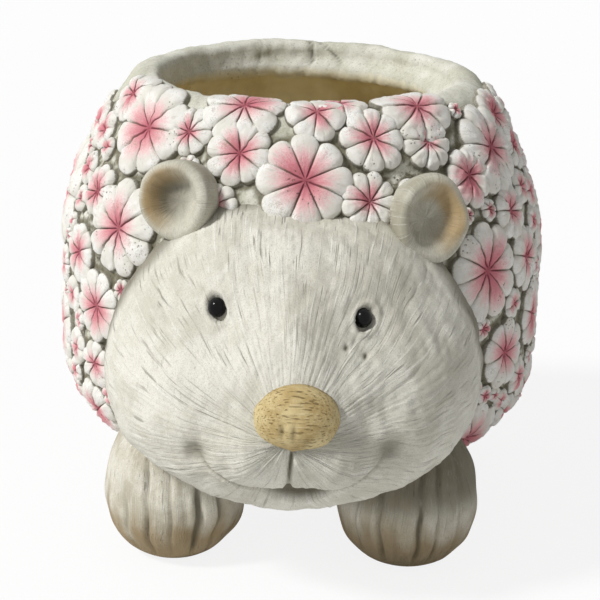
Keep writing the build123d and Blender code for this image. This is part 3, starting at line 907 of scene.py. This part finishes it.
def ochre_nose():
    """An ellipsoid of rings along -Y with a flattened back, and two short upright dents on its front."""
    low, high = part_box("nose")
    half = [(high[k] - low[k]) / 2 for k in range(3)]
    middle = np.array([muzzle_x, (low[1] + high[1]) / 2, (low[2] + high[2]) / 2 - 2 * mm])
    shrink = 0.965
    phi = turns(96)
    v = np.linspace(0.02, np.pi * 0.98, 60)[:, None]
    ring = np.sin(v) ** 0.9
    x = half[0] * ring * np.sin(phi) * (1 - 0.06 * np.cos(phi))
    z = half[2] * ring * np.cos(phi)
    y = -half[1] * np.cos(v) + 0 * x
    dents = hump(x + 5.0 * mm, 1.0 * mm) + 0.8 * hump(x + 0.4 * mm, 0.9 * mm)
    dents = dents * hump(z + 2.5 * mm, 3.0 * mm) * (y < 0)
    rings = np.stack([x, y, z], -1)
    normal = rings / np.linalg.norm(rings, axis=2, keepdims=True)
    push = (0.30 * murmur(31, 9 * mm, x, y, z) - 0.75 * dents)[..., None] * mm
    edge = ease(1.35, 1.75, v + 0 * x)
    # Painted shade in the dents, and towards the edge where the nose meets the face
    traits = {
        "hollow": np.clip(0.7 * dents + 0.75 * edge, 0, 1),
        "strand": np.stack([x * (1 + 6 * z), y, z], -1),
    }
    rings = rings * shrink + normal * push + middle
    closed_piece("ochre_nose", rings, traits, nose_ochre(), ["nose"], "nose_ochre")


# Ears: share of the ear's half size out from its middle, and height over its front plane
ear_profile_shares = (
    (0.02, -0.42), (0.30, -0.38), (0.52, -0.20), (0.68, 0.02), (0.83, 0.10),
    (0.96, 0.02), (1.00, -0.18), (0.98, -0.50), (0.92, -0.90),
)
ear_half_width = 14.6 * mm
ear_thickness = 13 * mm
ear_ahead = 4.5 * mm
ear_splay, ear_tilt = np.radians(24), np.radians(10)

# Each ear: side, middle, half height, how the painted shade leans across the bowl, and how dark the bowl's painted
# shade is
ears = {
    "left": (-1, (-43.4 * mm, 143.5 * mm), 15.2 * mm, -0.9, 0.95),
    "right": (1, (48.2 * mm, 139.0 * mm), 1.1 * 15.2 * mm, 0.6, 0.30),
}


def cupped_ears(finish):
    """Each ear is a cup: a profile from the bowl over the rolled rim to the back, carried round its middle.
    The bowl is deepest towards the brow, and the foot of the rim sinks into the head."""
    rows, bowl_rows, foot_rows, rim_rows, fan = 90, 45, 55, 62, 16 * mm
    row = np.arange(rows)[:, None]
    profile = through(ear_profile_shares, rows)
    share, phi = profile[:, :1], turns(144)
    for hand, (side, (ear_x, ear_z), half_height, bowl_shade_lean, bowl_shade_depth) in ears.items():
        low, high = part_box(f"{hand}_ear")
        middle = np.array([ear_x, (low.y + high.y) / 2, ear_z])
        level = profile[:, 1:]
        inward, rise = -side * np.sin(phi), np.cos(phi)
        bowl = ease(0.80, 0.35, share) * (level > -0.45) * (row < bowl_rows)
        level = level - 0.16 * bowl * (0.5 + 0.9 * share * inward + 0.7 * share * rise)
        level = level - 0.16 * ease(0.2, 1.0, -rise) * ease(0.3, 0.9, share)
        wave = 1 + 0.018 * np.sin(3 * phi + side) + 0.012 * np.sin(5 * phi)
        across = ear_half_width * share * np.sin(phi) * wave
        upward = half_height * share * np.cos(phi) * wave
        ahead = ear_thickness * level + ear_ahead
        splay = ear_splay * side
        outward_axis = np.array([np.cos(splay), np.sin(splay), 0])
        face_axis = np.cos(ear_tilt) * np.array([np.sin(splay), -np.cos(splay), np.tan(ear_tilt)])
        up_axis = np.cross(outward_axis, -face_axis)
        lumps = 0.35 * mm * murmur(41 + side, 9 * mm, across, upward, ahead)
        offsets = zip((across, upward, ahead + lumps), (outward_axis, up_axis, face_axis))
        rings = middle + sum(offset[..., None] * axis for offset, axis in offsets)
        # Painted shade in the bowl, leaning across it, and where the foot of the rim meets the head
        bowl_shade = bowl * np.clip(0.55 + bowl_shade_lean * share * inward + 0.2 * share * rise, 0, 1)
        foot = ease(0.75, 1.0, share) * (row > foot_rows)
        stain = ease(0.30, 0.55, share) * ease(0.95, 0.72, share) * (row < rim_rows)
        strand = [fan * np.cos(phi) + 0 * across, fan * np.sin(phi) + 0 * across, 20 * mm * share + ahead]
        traits = {
            "hollow": np.clip(bowl_shade_depth * bowl_shade + 0.35 * foot, 0, 1),
            "stain": 0.75 * stain * np.clip(0.30 - 0.9 * inward + 0.25 * rise, 0, 1),
            "strand": np.stack(strand, -1),
        }
        closed_piece(f"{hand}_cupped_ear", rings, traits, finish, [f"{hand}_ear"], "cement_face")


# Paws: share of the paw's height, and share of its half size
paw_profile_shares = (
    (0.00, 0.34), (0.03, 0.52), (0.09, 0.70), (0.21, 0.89), (0.38, 0.99),
    (0.56, 0.965), (0.72, 0.86), (0.86, 0.66), (0.96, 0.36), (1.00, 0.08),
)
paw_half_length = 27.5 * mm

# Ends: side of the toes, and the paw's height before the barrel's underside cuts it
paw_ends = {"front": (-1, 60 * mm), "rear": (1, 50 * mm)}

# Folds up the toes: place across the half width, depth and width in millimetres
toe_folds = {
    "left": ((-0.64, 0.8, 0.8), (-0.33, 1.4, 0.9), (0.02, 0.9, 0.7), (0.40, 2.3, 1.3), (0.68, 1.5, 0.9)),
    "right": (
        (-0.72, 0.9, 0.8), (-0.38, 1.9, 1.1), (-0.14, 0.8, 0.7),
        (0.20, 2.2, 1.2), (0.46, 1.4, 0.9), (0.76, 0.9, 0.8),
    ),
}

# Painted shadow of the head on the front paws under the chin: its depth, and the heights where it starts and is
# full
chin_shadow_paint = {"left": (0.3, 26 * mm, 43 * mm), "right": (1.0, 17 * mm, 37 * mm)}


def folded_paws(finish):
    """Each paw is an egg of rings by height. Toe grooves and finer folds run up its outer face. Where it passes
    under the barrel, its top is lowered into the pot's wall."""
    phi = turns(220)
    profile = through(paw_profile_shares, 120)
    share = profile[:, 1:] * 0.985
    toe_side = ease(-0.1, 0.5, np.cos(phi))
    for hand_seed, (hand, folds) in zip((51, 52), toe_folds.items()):
        for end_seed, (end, (toes, height)) in zip((0, 10), paw_ends.items()):
            seed = hand_seed + end_seed
            low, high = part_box(f"{end}_{hand}_paw")
            half_width = (high.x - low.x) / 2
            toe_tip = low.y if toes < 0 else high.y
            middle = np.array([(low.x + high.x) / 2, toe_tip - toes * paw_half_length, 0])
            x = half_width * share * np.sin(phi)
            y = toes * paw_half_length * share * np.cos(phi)
            z = np.maximum(profile[:, :1] * height, 0) + 0 * phi
            bow = x / np.maximum(share, 0.35) + 0.9 * mm * murmur(seed, 24 * mm, z)
            window = toe_side * ease(0.03, 0.16, z / height) * ease(1.0, 0.80, z / height)
            grooves = sum(deep * hump(bow - at * half_width, wide * mm) for at, deep, wide in folds) * window
            fine = np.clip(murmur(seed + 5, 4.0 * mm, bow, z * 0.12, waves=16), 0, 1) * window
            push = (0.4 * murmur(seed + 9, 16 * mm, x, y, z) - grooves - 0.5 * fine) * mm
            plain = np.stack([x, y, z], -1)
            normal = outward(plain)
            normal[..., 2] *= ease(0.0, 6 * mm, z)
            rings = plain + normal * push[..., None] + middle
            ceiling = underside(np.hypot(rings[..., 0], rings[..., 1] - axis_y)) + sunk
            rings[..., 2] = np.clip(rings[..., 2], 0, ceiling)
            # Painted shadow of the head on the front paws' tops, and painted shade in the folds
            depth, start, full = chin_shadow_paint[hand]
            painted_chin_shadow = depth * ease(start, full, z) * (end == "front")
            hollow = np.maximum(np.clip(0.40 * grooves + 0.35 * fine, 0, 1), painted_chin_shadow)
            stained = z + 4 * mm * murmur(seed, 12 * mm, x, y)
            traits = {
                "hollow": hollow * 0.8,
                "stain": ease(28 * mm, 11 * mm, stained) * 0.85,
                "strand": np.stack([bow, y * 0.5, z * 0.5 + seed], -1),
            }
            name = f"{end}_{hand}_folded_paw"
            closed_piece(name, rings, traits, finish, [f"{end}_{hand}_paw"], "cement_paw")


# Studio: levels of the lamp, the sky and the floor
sun_strength = 2.95
sun_size = np.radians(10)
sun_turn = (np.radians(46), 0, np.radians(-60))
sky_dim = 0.33
floor_half = 4.0
floor_grey = 0.86
floor_glow = 0.86


def pale_floor():
    """A floor that keeps the shadow and glows white where it is seen plainly."""
    mesh = bpy.data.meshes.new("floor")
    corners = [(-1, -1), (1, -1), (1, 1), (-1, 1)]
    mesh.from_pydata([(x * floor_half, y * floor_half, 0) for x, y in corners], [], [(0, 1, 2, 3)])
    floor = linked("floor", mesh)
    plain = Finish("floor_white", gloss=0.1)
    plain.shader.inputs["Base Color"].default_value = (floor_grey, floor_grey, floor_grey, 1)
    glow = plain.node("Emission", (), {"Color": (1, 1, 1, 1), "Strength": 1.0})
    lit = Sum(plain.tree, plain.shader.outputs[0])
    cover = plain.node("MixShader", (), {0: plain.seen_plainly() * floor_glow, 1: lit, 2: glow})
    feed(plain.tree, plain.tree.nodes["Material Output"].inputs["Surface"], cover)
    mesh.materials.append(plain.material)


def studio():
    """A pale floor, a white sky that is dim as a light, plain sun from the upper left, and the fitted camera."""
    scene = bpy.context.scene
    scene.view_settings.view_transform = "Standard"
    pale_floor()

    scene.world = bpy.data.worlds.new("studio")
    scene.world.use_nodes = True
    sky = Tree(scene.world.node_tree)
    backdrop = sky.tree.nodes["Background"]
    backdrop.inputs["Color"].default_value = (1, 1, 1, 1)
    feed(sky.tree, backdrop.inputs["Strength"], sky_dim + sky.seen_plainly() * (1 - sky_dim))

    lamp = bpy.data.lights.new("key", "SUN")
    lamp.energy = sun_strength
    lamp.angle = sun_size
    linked("key", lamp).rotation_euler = sun_turn

    lens = bpy.data.cameras.new("camera")
    lens.angle = np.radians(camera_field)
    lens.clip_start = 0.01
    scene.camera = linked("camera", lens)
    yaw = np.radians(camera_yaw)
    spot = (camera_reach * np.sin(yaw), axis_y - camera_reach * np.cos(yaw), camera_height)
    aim = Matrix.Rotation(yaw, 4, "Z") @ Matrix.Rotation(np.radians(90 - camera_pitch), 4, "X")
    scene.camera.matrix_world = Matrix.Translation(spot) @ aim @ Matrix.Rotation(np.radians(camera_roll), 4, "Z")


studio()
cast_pot()
bloom_coat()
pale_head()
ochre_nose()
cupped_ears(brushed_cement("ear_cement", "cbc8b9", "aba795", "a3844f", 0.6))
folded_paws(brushed_cement("paw_cement", "d9d5c7", "b8b29f", "937e5a", 0.8))
